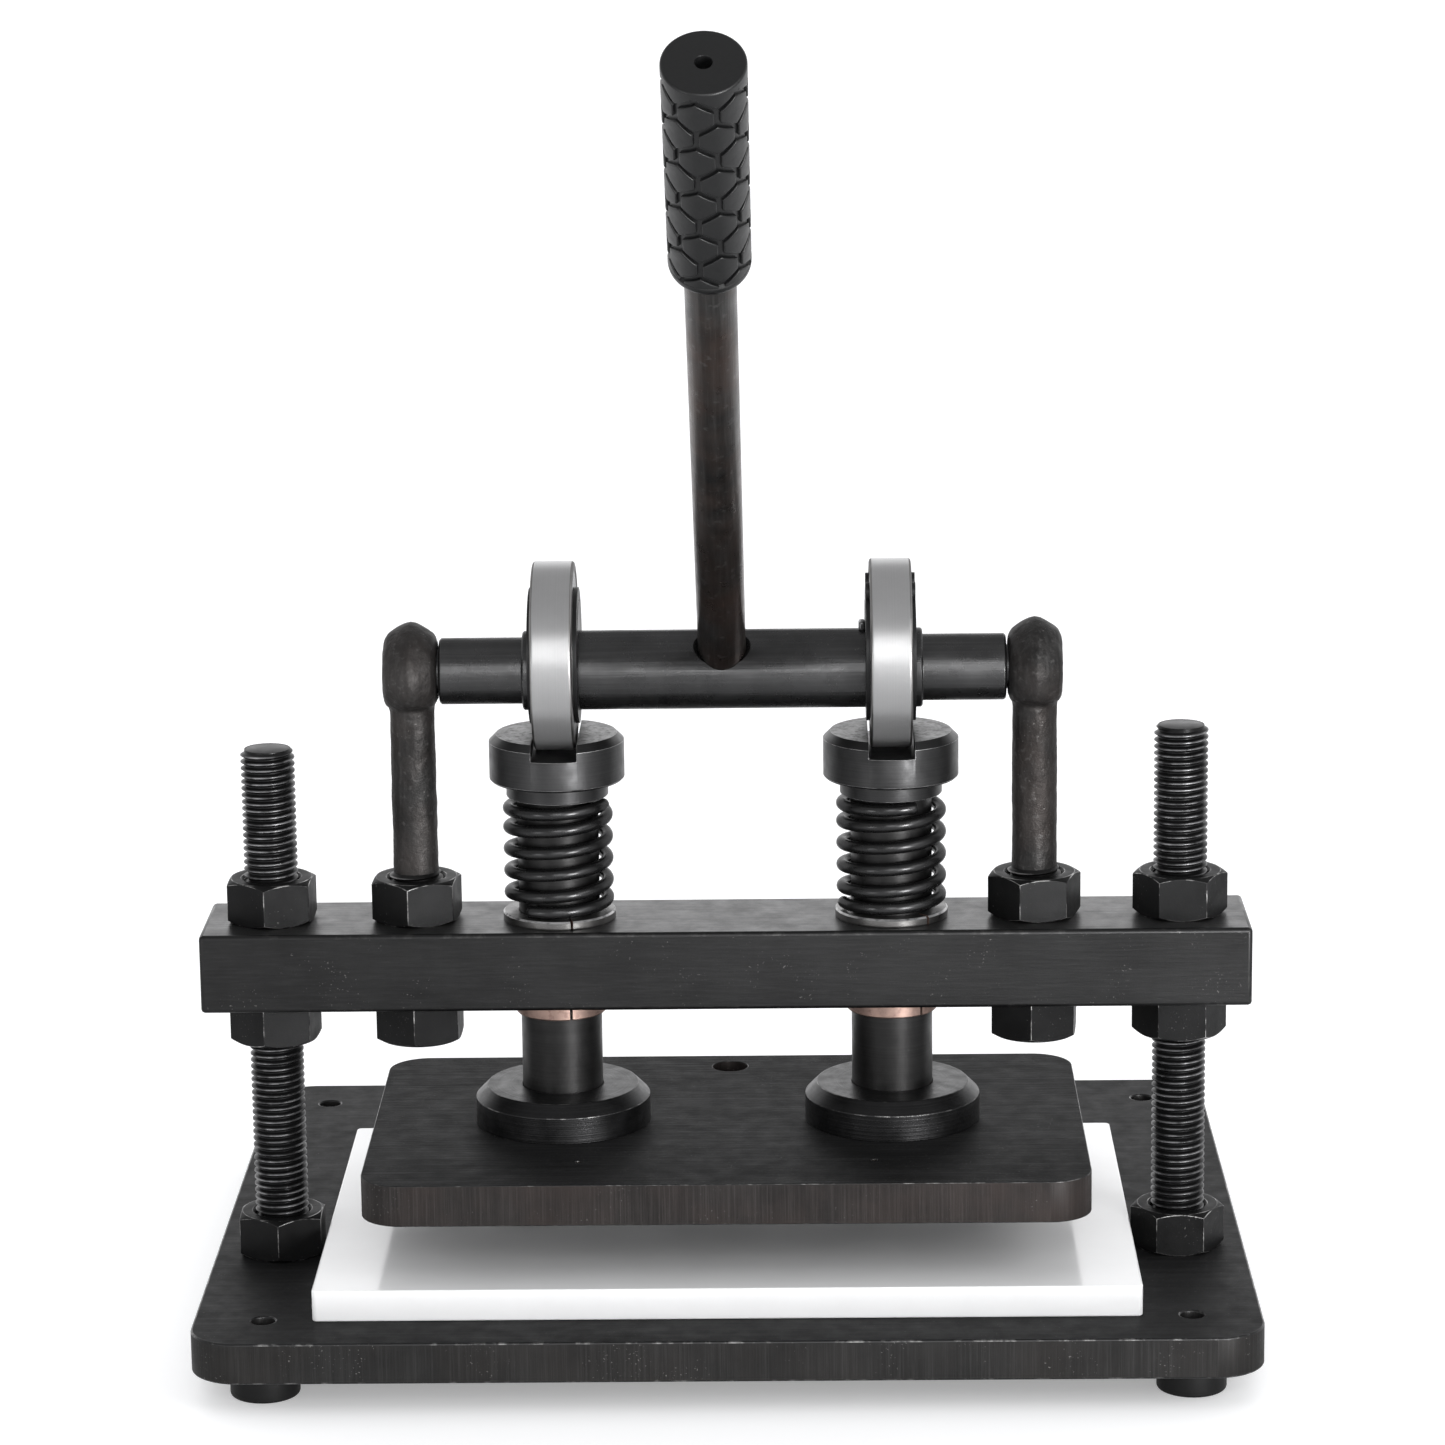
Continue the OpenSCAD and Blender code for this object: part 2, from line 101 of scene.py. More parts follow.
def bevel(ob, width, segments=3, angle=32, worn=True, flat_area=None):
    """Rounds the sharp edges; their faces take the second material. Faces over flat_area are shaded flat."""
    m = ob.modifiers.new("bevel", "BEVEL")
    m.width = width
    m.segments = segments
    m.limit_method = "ANGLE"
    m.angle_limit = math.radians(angle)
    m.use_clamp_overlap = True
    if worn:
        while len(ob.data.materials) < 2:
            ob.data.materials.append(None)
        m.material = 1
    bake(ob)
    sharpen(ob, 46)
    if flat_area:
        for f in ob.data.polygons:
            if f.area > flat_area:
                f.use_smooth = False
    return ob


def sharpen(ob, deg=35):
    ob.data.polygons.foreach_set("use_smooth", [True] * len(ob.data.polygons))
    ob.data.set_sharp_from_angle(angle=math.radians(deg))
    return ob


def cut(ob, *cutters):
    for c in cutters:
        m = ob.modifiers.new("cut", "BOOLEAN")
        m.operation = "DIFFERENCE"
        m.solver = "EXACT"
        m.object = c
        bake(ob)
        bpy.data.objects.remove(c)
    return ob


def lathe(name, profile, n=96, close=False, sharp=35):
    """Turns (radius, height) points about Z. close joins the last point to the first."""
    verts, faces, rings = [], [], []
    for r, z in profile:
        if r < 1e-7:
            rings.append([len(verts)])
            verts.append((0, 0, z))
        else:
            rings.append(list(range(len(verts), len(verts) + n)))
            verts += [(r * math.cos(2 * PI * k / n), r * math.sin(2 * PI * k / n), z) for k in range(n)]
    pairs = list(zip(rings[:-1], rings[1:]))
    if close:
        pairs.append((rings[-1], rings[0]))
    for a, b in pairs:
        for k in range(n):
            j = (k + 1) % n
            if len(a) == 1 and len(b) == 1:
                continue
            if len(a) == 1:
                faces.append((a[0], b[j], b[k]))
            elif len(b) == 1:
                faces.append((a[k], a[j], b[0]))
            else:
                faces.append((a[k], a[j], b[j], b[k]))
    ob = fix_normals(new_object(name, verts, faces))
    return sharpen(ob, sharp)


def held(profile, hold=0.4 * MM):
    """Adds a point near both ends of each long stretch, so that its shading stays true."""
    out = [profile[0]]
    for (r0, z0), (r1, z1) in zip(profile[:-1], profile[1:]):
        far = math.hypot(r1 - r0, z1 - z0)
        if far > 4 * hold:
            for k in (hold / far, 1 - hold / far):
                out.append((r0 + (r1 - r0) * k, z0 + (z1 - z0) * k))
        out.append((r1, z1))
    return out


def place(ob, matrix):
    """Moves the mesh, not the object."""
    ob.data.transform(matrix)
    ob.data.update()
    return ob


def at(x, y, z):
    return Matrix.Translation((x, y, z))


ALONG_X = Matrix.Rotation(PI / 2, 4, "Y")


def arc(cx, cz, r, a0, a1, n):
    """n + 1 points on a circle, from a0 to a1 degrees."""
    turns = [math.radians(a0 + (a1 - a0) * i / n) for i in range(n + 1)]
    return [(cx + r * math.cos(a), cz + r * math.sin(a)) for a in turns]


def slab(name, lo, hi, radius, corner=20):
    """A plate between two corners with round upright edges."""
    cx, cy = (lo[0] + hi[0]) / 2, (lo[1] + hi[1]) / 2
    w, d = (hi[0] - lo[0]) / 2 - radius, (hi[1] - lo[1]) / 2 - radius
    ring = []
    for sx, sy, a in ((1, 1, 0), (-1, 1, 90), (-1, -1, 180), (1, -1, 270)):
        for x, y in arc(cx + sx * w, cy + sy * d, radius, a, a + 90, corner):
            ring.append((x, y))
    n = len(ring)
    verts = [(x, y, lo[2]) for x, y in ring] + [(x, y, hi[2]) for x, y in ring]
    faces = [tuple(range(n - 1, -1, -1)), tuple(range(n, 2 * n))]
    faces += [(i, (i + 1) % n, n + (i + 1) % n, n + i) for i in range(n)]
    return new_object(name, verts, faces)


def drill(x, y, z0, z1, r, n=64):
    """An upright cylinder that cuts a hole."""
    ob = lathe("drill", [(0, z0), (r, z0), (r, z1), (0, z1)], n)
    return place(ob, at(x, y, 0))


def through(ob, x, y, r, n=48):
    """Drills an upright hole right through a piece."""
    heights = [v.co.z for v in ob.data.vertices]
    return cut(ob, drill(x, y, min(heights) - THROUGH, max(heights) + THROUGH, r, n))


def block(lo, hi):
    ring = ((lo[0], lo[1]), (hi[0], lo[1]), (hi[0], hi[1]), (lo[0], hi[1]))
    v = [(x, y, z) for z in (lo[2], hi[2]) for x, y in ring]
    f = [(3, 2, 1, 0), (4, 5, 6, 7), (0, 1, 5, 4), (1, 2, 6, 5), (2, 3, 7, 6), (3, 0, 4, 7)]
    return new_object("block", v, f)


def thread(name, r, z0, z1, pitch, depth, chamfer, n=48, centre=(0, 0)):
    """A right-hand screw thread with a chamfered start and end, capped at both ends."""
    turns = (z1 - z0) / pitch + 2
    steps = int(turns * n)
    shape = [(0.00, 1.0), (0.125, 1.0), (0.47, 0.0), (0.62, 0.0)]  # (share of the pitch, 1 at the crest)
    verts, faces = [], []
    k = len(shape)

    def limit(z, rad):
        end = min(z - z0, z1 - z)
        return min(rad, r - chamfer + max(end, 0.0))

    for i in range(steps + 1):
        a = 2 * PI * i / n
        for u, h in shape:
            z = z0 - pitch + pitch * (i / n + u)
            z = min(max(z, z0), z1)
            rad = limit(z, r - depth * (1 - h))
            verts.append((centre[0] + rad * math.cos(a), centre[1] + rad * math.sin(a), z))
    for i in range(steps):
        for j in range(k - 1):
            faces.append((i * k + j, (i + 1) * k + j, (i + 1) * k + j + 1, i * k + j + 1))
        if i + n < steps:
            faces.append((i * k + k - 1, (i + 1) * k + k - 1, (i + 1 + n) * k, (i + n) * k))
    ob = new_object(name, verts, faces)
    for z, up in ((z0, -1), (z1, 1)):
        core = r - chamfer
        cap = lathe("cap", [(0, z), (core * 0.93, z), (core, z - up * core * 0.02)], 48)
        place(cap, at(centre[0], centre[1], 0))
        join(ob, cap)
    bm = bmesh.new()
    bm.from_mesh(ob.data)
    bmesh.ops.remove_doubles(bm, verts=bm.verts, dist=1e-7)
    bmesh.ops.dissolve_degenerate(bm, edges=bm.edges, dist=1e-7)
    bmesh.ops.recalc_face_normals(bm, faces=bm.faces)
    bm.to_mesh(ob.data)
    bm.free()
    return sharpen(ob, 28)


def join(ob, *others):
    """Adds the other meshes to ob, keeping material numbers, and removes them."""
    bm = bmesh.new()
    bm.from_mesh(ob.data)
    for o in others:
        bm.from_mesh(o.data)
    bm.to_mesh(ob.data)
    bm.free()
    for o in others:
        bpy.data.objects.remove(o)
    return ob


def tube(name, path, radius, sides=16):
    """A round bar swept along a path that winds about Z, with domed ends."""
    verts, faces = [], []
    rings = []
    n = len(path)

    def frame_at(i):
        p = Vector(path[i])
        q0, q1 = Vector(path[max(i - 1, 0)]), Vector(path[min(i + 1, n - 1)])
        t = (q1 - q0).normalized()
        out = Vector((p.x, p.y, 0)).normalized()
        out = (out - t * out.dot(t)).normalized()
        return p, t, out, t.cross(out)

    def ring(p, out, side, rad):
        rings.append(len(verts))
        for k in range(sides):
            a = 2 * PI * k / sides
            verts.append(p + out * (rad * math.cos(a)) + side * (rad * math.sin(a)))

    p, t, out, side = frame_at(0)
    ring(p, out, side, radius * 0.86)
    ring(p + t * radius * 0.12, out, side, radius)
    for i in range(1, n - 1):
        p, t, out, side = frame_at(i)
        ring(p, out, side, radius)
    p, t, out, side = frame_at(n - 1)
    ring(p - t * radius * 0.12, out, side, radius)
    ring(p, out, side, radius * 0.86)
    for a, b in zip(rings[:-1], rings[1:]):
        for k in range(sides):
            j = (k + 1) % sides
            faces.append((a + k, a + j, b + j, b + k))
    faces.append(tuple(rings[0] + k for k in range(sides - 1, -1, -1)))
    faces.append(tuple(rings[-1] + k for k in range(sides)))
    ob = fix_normals(new_object(name, verts, faces))
    return sharpen(ob, 50)


# ---------------------------------------------------------------- materials


class Graph:
    """Short calls for building a node material."""

    def __init__(self, name):
        self.m = bpy.data.materials.new(name)
        self.m.use_nodes = True
        self.t = self.m.node_tree
        self.t.nodes.clear()
        self.out = self.t.nodes.new("ShaderNodeOutputMaterial")
        self.b = self.t.nodes.new("ShaderNodeBsdfPrincipled")
        self.t.links.new(self.b.outputs[0], self.out.inputs[0])
        self.co = self.t.nodes.new("ShaderNodeTexCoord").outputs["Object"]

    def link(self, a, b):
        self.t.links.new(a, b)

    def mapping(self, scale, rotation=(0, 0, 0), location=(0, 0, 0)):
        n = self.t.nodes.new("ShaderNodeMapping")
        n.inputs["Scale"].default_value = scale
        n.inputs["Rotation"].default_value = rotation
        n.inputs["Location"].default_value = location
        self.link(self.co, n.inputs["Vector"])
        return n.outputs[0]

    def shifted(self, x, y, z):
        """The coordinates moved, so that two noises don't line up."""
        return self.mapping((1, 1, 1), location=(x, y, z))

    def noise(self, scale, detail=4, rough=0.55, vector=None):
        n = self.t.nodes.new("ShaderNodeTexNoise")
        n.inputs["Scale"].default_value = scale
        n.inputs["Detail"].default_value = detail
        n.inputs["Roughness"].default_value = rough
        self.link(vector if vector is not None else self.co, n.inputs["Vector"])
        return n.outputs[0]

    def ramp(self, fac, stops):
        n = self.t.nodes.new("ShaderNodeValToRGB")
        e = n.color_ramp.elements
        while len(e) < len(stops):
            e.new(0.5)
        for k, (p, c) in enumerate(stops):
            e[k].position = p
            e[k].color = (c, c, c, 1)
        self.link(fac, n.inputs[0])
        return n.outputs[0]

    def mix(self, fac, a, b, mode="MIX"):
        n = self.t.nodes.new("ShaderNodeMix")
        n.data_type = "RGBA"
        n.blend_type = mode
        for value, socket in ((fac, n.inputs[0]), (a, n.inputs[6]), (b, n.inputs[7])):
            if isinstance(value, (int, float)):
                socket.default_value = value
            elif isinstance(value, tuple):
                socket.default_value = (*value, 1)
            else:
                self.link(value, socket)
        return n.outputs[2]

    def math(self, op, a, b=0.0):
        n = self.t.nodes.new("ShaderNodeMath")
        n.operation = op
        for value, socket in ((a, n.inputs[0]), (b, n.inputs[1])):
            if isinstance(value, (int, float)):
                socket.default_value = value
            else:
                self.link(value, socket)
        return n.outputs[0]

    def over(self, col, paint, mask, share):
        """Lays a paint over a colour where the mask is 1, as thickly as share says."""
        return self.mix(self.math("MULTIPLY", mask, share), col, paint)

    def length(self, a, b):
        squares = [self.math("MULTIPLY", v, v) for v in (a, b)]
        return self.math("SQRT", self.math("ADD", *squares))

    def split(self, vector):
        n = self.t.nodes.new("ShaderNodeSeparateXYZ")
        self.link(vector, n.inputs[0])
        return n.outputs

    def bump(self, height, strength, distance, normal=None):
        n = self.t.nodes.new("ShaderNodeBump")
        n.inputs["Strength"].default_value = strength
        n.inputs["Distance"].default_value = distance
        self.link(height, n.inputs["Height"])
        if normal is not None:
            self.link(normal, n.inputs["Normal"])
        return n.outputs[0]


def tint(c, k):
    return tuple(min(1.0, v * k) for v in c)


def oxide(name, base, rough=0.45, metal=0.5, gloss=0.22, rim=0.5, vary=0.2, grain=None, gain=0.5, bands=None,
          spots=None, pits=0.12, brown=0.0, rust=None, chips=0.0, crest_glint=None, lumps=0.0, tilt=0.0, seed=0.0):
    """Black-oxide steel: cloudy tone, soft bands, brushed grain, pits, lumps and a painted highlight on
    thread crests.

    brown, rust and chips add brown patches and light specks.
    tilt turns the grain about X, for a bar that leans.
    """
    g = Graph(name)
    if tilt:
        g.co = g.mapping((1, 1, 1), rotation=(tilt, 0, 0))
    cloud = g.noise(38, 5, 0.6, g.shifted(seed, seed * 0.7, seed * 1.3))
    col = g.mix(g.ramp(cloud, [(0.32, 0.0), (0.68, 1.0)]), tint(base, 1 - vary), tint(base, 1 + vary))
    height = None
    if bands:
        wide = g.noise(1.0, 3, 0.5, g.mapping(bands, location=(seed, 0, 0)))
        col = g.over(col, tint(base, 2.0), g.ramp(wide, [(0.45, 0.0), (0.62, 1.0)]), 0.45)
    if grain:
        fine = g.noise(1.0, 5, 0.7, g.mapping(grain))
        col = g.over(col, tint(base, 3.6), g.ramp(fine, [(0.5, 0.0), (0.78, 1.0)]), gain)
        col = g.over(col, tint(base, 0.35), g.ramp(fine, [(0.28, 1.0), (0.5, 0.0)]), gain)
        height = g.bump(fine, 0.3, 0.0003)
    if lumps:
        height = g.bump(g.noise(300, 3, 0.55, g.shifted(3, seed, 6)), lumps, 0.0008, height)
    if brown:
        patch = g.noise(24, 6, 0.62, g.shifted(4 + seed, 2, 7))
        col = g.over(col, rust, g.ramp(patch, [(0.42, 0.0), (0.62, 1.0)]), brown)
    # a painted highlight along the thread crests, broken up by noise
    if crest_glint:
        x, y, _ = g.split(g.co)
        axis_x, crest_r = crest_glint
        rad = g.length(g.math("SUBTRACT", g.math("ABSOLUTE", x), axis_x), g.math("SUBTRACT", y, RY))
        at_crest = crest_r * 100
        top = g.ramp(g.math("MULTIPLY", rad, 100), [(at_crest - 0.03, 0.0), (at_crest + 0.005, 1.0)])
        glint_breaks = g.ramp(g.noise(140, 3), [(0.4, 0.15), (0.62, 1.0)])
        col = g.over(col, tint(base, 22.0), g.math("MULTIPLY", top, glint_breaks), 0.75)
    if spots:
        dots = g.noise(spots, 3, 0.5, g.shifted(9, seed, 3))
        col = g.mix(g.ramp(dots, [(0.6, 0.0), (0.76, 0.4)]), col, tint(base, 4.0))
    if chips:
        dot = g.ramp(g.noise(1300, 2, 0.5, g.shifted(1, 3, seed)), [(0.69, 0.0), (0.72, 1.0)])
        far = g.ramp(g.noise(60, 2, 0.5, g.shifted(6, 8, seed)), [(0.52, 0.0), (0.6, 1.0)])
        col = g.over(col, (0.3, 0.29, 0.28), g.math("MULTIPLY", dot, far), chips)
    g.link(col, g.b.inputs["Base Color"])
    r = g.noise(120, 4, 0.6, g.shifted(2, seed, 5))
    g.link(g.ramp(r, [(0.3, rough - 0.06), (0.7, rough + 0.08)]), g.b.inputs["Roughness"])
    g.b.inputs["Metallic"].default_value = metal
    g.b.inputs["Specular IOR Level"].default_value = gloss
    g.b.inputs["Specular Tint"].default_value = (rim, rim, rim, 1)
    bumped = g.bump(g.noise(1400, 3, 0.6), pits, 0.00012, height)
    g.link(g.bump(cloud, 0.1, 0.0005, bumped), g.b.inputs["Normal"])
    return g.m


def worn(name, dark, bright, amount, rough=0.34, scale=160):
    """The rubbed edge of a black part: bare metal breaking through the black."""
    g = Graph(name)
    n = g.noise(scale, 5, 0.66)
    lo = 0.62 - 0.3 * amount
    col = g.mix(g.ramp(n, [(lo, 0.0), (lo + 0.16, 1.0)]), dark, bright)
    g.link(col, g.b.inputs["Base Color"])
    g.link(g.ramp(n, [(0.3, rough + 0.12), (0.7, rough)]), g.b.inputs["Roughness"])
    g.b.inputs["Metallic"].default_value = 0.85
    g.link(g.bump(g.noise(900, 3), 0.2, 0.0001), g.b.inputs["Normal"])
    return g.m


def turned(name, base, rough=0.34, axis="Z", centre=(0, 0, 0), pitch=0.0006, metal=0.85, seed=0.0,
           speck=0.0, depth=0.16, vary=0.3, rim=1.0):
    """Lathe-turned steel: fine rings about an axis, with a blotchy black finish over them."""
    g = Graph(name)
    x, y, z = g.split(g.shifted(*(-c for c in centre)))
    a, b, along = (y, z, x) if axis == "X" else (x, y, z)
    rings = g.t.nodes.new("ShaderNodeCombineXYZ")
    g.link(g.math("MULTIPLY", g.length(a, b), 1 / pitch), rings.inputs[0])
    g.link(g.math("MULTIPLY", along, 1 / pitch), rings.inputs[1])
    rings.inputs[2].default_value = seed
    fine = g.noise(1.0, 3, 0.6, rings.outputs[0])
    cloud = g.noise(55, 5, 0.6, g.shifted(seed, 3, 1))
    col = g.mix(g.ramp(cloud, [(0.3, 0.0), (0.7, 1.0)]), tint(base, 1 - vary), tint(base, 1 + vary))
    col = g.over(col, tint(base, 1.9), g.ramp(fine, [(0.4, 0.0), (0.7, 1.0)]), 1.2 * vary)
    if speck:
        dots = g.noise(420, 4, 0.6, g.shifted(7, 7, seed))
        col = g.over(col, tint(base, 0.3), g.ramp(dots, [(0.5, 0.0), (0.62, 1.0)]), speck)
    g.link(col, g.b.inputs["Base Color"])
    spread = [(0.3, rough - 0.2 * vary), (0.7, rough + 0.27 * vary)]
    g.link(g.ramp(g.noise(200, 4), spread), g.b.inputs["Roughness"])
    g.b.inputs["Metallic"].default_value = metal
    g.b.inputs["Specular Tint"].default_value = (rim, rim, rim, 1)
    g.link(g.bump(fine, depth, 0.0002, g.bump(g.noise(900, 3), 0.1, 0.0001)), g.b.inputs["Normal"])
    return g.m


M = {}
DARK = (0.014, 0.0141, 0.0144)
BEAM = (0.0145, 0.0146, 0.0148)
FLAT, UPRIGHT = (18, 330, 330), (1300, 1300, 20)  # grain along X on a flat, and upright on a cut edge
CREST_R = 9.6 * MM  # the thread crests outside this radius get a painted highlight
M["plate_top"] = oxide("base plate top", DARK, rough=0.56, rim=0.6, grain=FLAT, gain=0.4, bands=(3, 22, 1),
                       chips=0.3)
M["plate_side"] = oxide("base plate edge", (0.0165, 0.0163, 0.0162), rough=0.5, grain=UPRIGHT, gain=0.35,
                        brown=0.2, rust=(0.03, 0.026, 0.024), chips=0.4, seed=1)
M["beam"] = oxide("beam black", BEAM, rough=0.46, grain=(60, 900, 900), gain=0.16, bands=(3, 9, 14),
                  chips=0.25, seed=2)
M["beam_top"] = oxide("beam top black", BEAM, rough=0.36, metal=0.3, gloss=0.5, rim=0.9,
                      grain=(18, 700, 700), gain=0.25, bands=(3, 9, 1), seed=2.5)
M["platen"] = oxide("press plate top", DARK, rough=0.54, rim=0.35, grain=FLAT, gain=0.45, bands=(3, 26, 1),
                    chips=0.3, seed=3)
M["platen_side"] = oxide("press plate edge", (0.0205, 0.0185, 0.018), rough=0.48, grain=UPRIGHT, gain=0.4,
                         brown=0.45, rust=(0.04, 0.03, 0.027), chips=0.4, seed=4)
M["nut"] = oxide("nut black", (0.01, 0.0101, 0.0103), rough=0.42, gloss=0.17, pits=0.25, vary=0.3, chips=0.3,
                 seed=5)
M["rod"] = oxide("thread black", (0.0125, 0.0125, 0.0128), rough=0.32, pits=0.1, crest_glint=(ROD_X, CREST_R),
                 seed=6)
M["forged"] = oxide("forged black", (0.026, 0.0252, 0.0249), rough=0.5, spots=420, pits=0.8, brown=0.4,
                    rust=(0.038, 0.03, 0.027), vary=0.45, grain=(420, 420, 60), gain=0.3, chips=0.35,
                    lumps=0.45, seed=7)
M["eye_thread"] = oxide("eye bolt thread", (0.0125, 0.0123, 0.0123), rough=0.34, crest_glint=(EYE_X, CREST_R),
                        seed=7.5)
M["bar"] = oxide("handle bar black", (0.042, 0.0408, 0.04), rough=0.31, metal=0.85, rim=1.0, spots=260,
                 brown=0.8, rust=(0.06, 0.04, 0.033), vary=0.35, pits=0.18, grain=(600, 600, 24), gain=0.34,
                 chips=0.15, tilt=-LEAN, seed=8)
M["shaft"] = oxide("shaft black", (0.043, 0.043, 0.0436), rough=0.28, metal=0.85, pits=0.1,
                   grain=(14, 900, 900), gain=0.15, chips=0.2, seed=9)
M["ring"] = oxide("retaining ring black", (0.022, 0.022, 0.0225), rough=0.38, pits=0.2, seed=10)
M["spring"] = oxide("spring black", (0.031, 0.031, 0.0315), rough=0.28, metal=0.8, vary=0.15, pits=0.06,
                    seed=11)
M["edge"] = worn("worn edge", (0.018, 0.018, 0.0184), (0.34, 0.337, 0.333), 0.5, scale=130)
M["edge_soft"] = worn("rubbed edge", (0.02, 0.02, 0.0204), (0.14, 0.139, 0.137), 0.35)
M["edge_dim"] = worn("beam edge", (0.015, 0.015, 0.0153), (0.036, 0.0357, 0.0354), 0.3)
M["edge_cap"] = worn("cap edge", (0.05, 0.05, 0.052), (0.35, 0.35, 0.35), 0.9)


def plain(name, base, rough, metal=0.0, scale=300, vary=0.12, bump=0.15, dist=0.0001, spec=0.5, spot=None):
    """An even finish with a faint mottle, and stains of the spot colour."""
    g = Graph(name)
    n = g.noise(scale, 4, 0.6)
    col = g.mix(g.ramp(n, [(0.3, 0.0), (0.7, 1.0)]), tint(base, 1 - vary), tint(base, 1 + vary))
    if spot:
        col = g.mix(g.ramp(g.noise(scale * 2.3, 3), [(0.55, 0.0), (0.66, 0.8)]), col, spot)
    g.link(col, g.b.inputs["Base Color"])
    spread = [(0.3, rough - 0.03), (0.7, rough + 0.04)]
    g.link(g.ramp(g.noise(scale * 0.5, 3), spread), g.b.inputs["Roughness"])
    g.b.inputs["Metallic"].default_value = metal
    g.b.inputs["Specular IOR Level"].default_value = spec
    g.link(g.bump(n, bump, dist), g.b.inputs["Normal"])
    return g.m


M["foot"] = plain("foot rubber", (0.005, 0.005, 0.0052), 0.55, scale=700, bump=0.25, spec=0.15)
M["grip"] = plain("grip rubber", (0.005, 0.0052, 0.0055), 0.38, scale=900, bump=0.25, spec=0.26)
M["board"] = plain("board white", (0.94, 0.943, 0.947), 0.13, scale=60, vary=0.012, bump=0.02, dist=0.0002)
M["copper"] = plain("copper bush", (0.235, 0.16, 0.134), 0.45, metal=0.75, scale=180, vary=0.25,
                    spot=(0.16, 0.1, 0.085))
M["stud"] = turned("stud steel", (0.3, 0.3, 0.3), pitch=0.0004)
CAM_AXIS = dict(axis="X", centre=(0, RY, CAM_Z))
M["bearing"] = turned("bearing band", (0.26, 0.26, 0.262), rough=0.31, pitch=0.0005, metal=0.55, depth=0.05,
                      vary=0.06, **CAM_AXIS)
M["bearing_side"] = turned("bearing side", (0.17, 0.167, 0.165), pitch=0.0004, metal=1.0, depth=0.08,
                           rim=0.35, **CAM_AXIS)
M["shield"] = turned("shield", (0.1, 0.1, 0.103), pitch=0.0005, **CAM_AXIS)
M["bush_rim"] = turned("bush rim", (0.09, 0.088, 0.086), rough=0.32, pitch=0.0004)
# painted shade: the right cap's base is darker, against the stronger light that falls on it from the right
CAP_BASE_RIGHT_SHADED = {"left": (0.0225, 0.0225, 0.023), "right": (0.019, 0.019, 0.0194)}
for side, sign in SIDES:
    sx = sign * PLUNGER_X
    mid = (sx, RY, 0)
    M["cap_" + side] = turned("cap steel " + side, CAP_BASE_RIGHT_SHADED[side], rough=0.4, centre=mid, pitch=0.0005,
                              seed=sx * 40)
    M["captop_" + side] = turned("cap top " + side, (0.18, 0.18, 0.18), rough=0.45, centre=mid, pitch=0.0012,
                                 seed=sx * 70, speck=0.95, metal=0.75, depth=0.35)
    M["post_" + side] = turned("post steel " + side, (0.015, 0.0148, 0.0148), rough=0.4, centre=mid,
                               pitch=0.0007, seed=sx * 90)
    M["flange_" + side] = turned("flange steel " + side, (0.013, 0.013, 0.0135), rough=0.38, centre=mid,
                                 seed=sx * 30, depth=0.5)


def dress(ob, body, slot, mats, *nodes):
    """Gives a piece its materials and its body, and hides the CAD nodes it stands for; the slot is not used.
    """
    have = len(ob.data.materials)
    for k, m in enumerate(mats):
        if k < have:
            ob.data.materials[k] = M[m]
        else:
            ob.data.materials.append(M[m])
    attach(ob, body)
    if nodes:
        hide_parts(*nodes)
    return ob


def third_material(ob, mat, low, high, above=0.0):
    """Gives the third material to unworn faces above a height whose normal's z is between low and high."""
    while len(ob.data.materials) < 3:
        ob.data.materials.append(M[mat])
    for f in ob.data.polygons:
        if f.material_index == 0 and low < f.normal.z < high and f.center.z > above:
            f.material_index = 2


def repaint(node, mat):
    ob = NODES[node]
    ob.data.materials.clear()
    ob.data.materials.append(M[mat])


# ---------------------------------------------------------------- base

lo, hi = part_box("base_plate")
base = slab("base_plate_fine", lo, hi, 18 * MM, 24)
for x in (-0.165, 0.165):
    for y in (-0.13, 0.13):
        through(base, x, (lo.y + hi.y) / 2 + y, 4.25 * MM)
bevel(base, 0.7 * MM, 3, flat_area=FACE)
third_material(base, "plate_side", -0.5, 0.5)
dress(base, "base", "black_plate", ["plate_top", "edge_soft", "plate_side"], "base_plate")

for n in ("foot_front_left", "foot_front_right", "foot_rear_left", "foot_rear_right"):
    lo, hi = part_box(n)
    r, h = (hi.x - lo.x) / 2, hi.z
    p = [(0, 0), (r - 1.6 * MM, 0)]
    p += arc(r - 1.2 * MM, 1.2 * MM, 1.2 * MM, -90, 0, 5)
    p += arc(r - 0.8 * MM, h - 0.8 * MM, 0.8 * MM, 0, 90, 4)
    p += [(0, h)]
    foot = place(lathe(n + "_fine", p, 64), at((lo.x + hi.x) / 2, (lo.y + hi.y) / 2, 0))
    dress(foot, "base", "foot_rubber", ["foot"], n)
repaint("foot_studs", "stud")

lo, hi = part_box("cutting_board")
board = slab("cutting_board_fine", lo, hi, 2 * MM, 8)
bevel(board, 0.6 * MM, 3, worn=False, flat_area=FACE)
dress(board, "board", "board_white", ["board"], "cutting_board")

# ---------------------------------------------------------------- rods and nuts

for n in ("rod_left", "rod_right"):
    lo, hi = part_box(n)
    rod = thread(n + "_thread", z0=lo.z, z1=hi.z, centre=((lo.x + hi.x) / 2, RY), **THREAD)
    dress(rod, "base", "rod_steel", ["rod"], n)


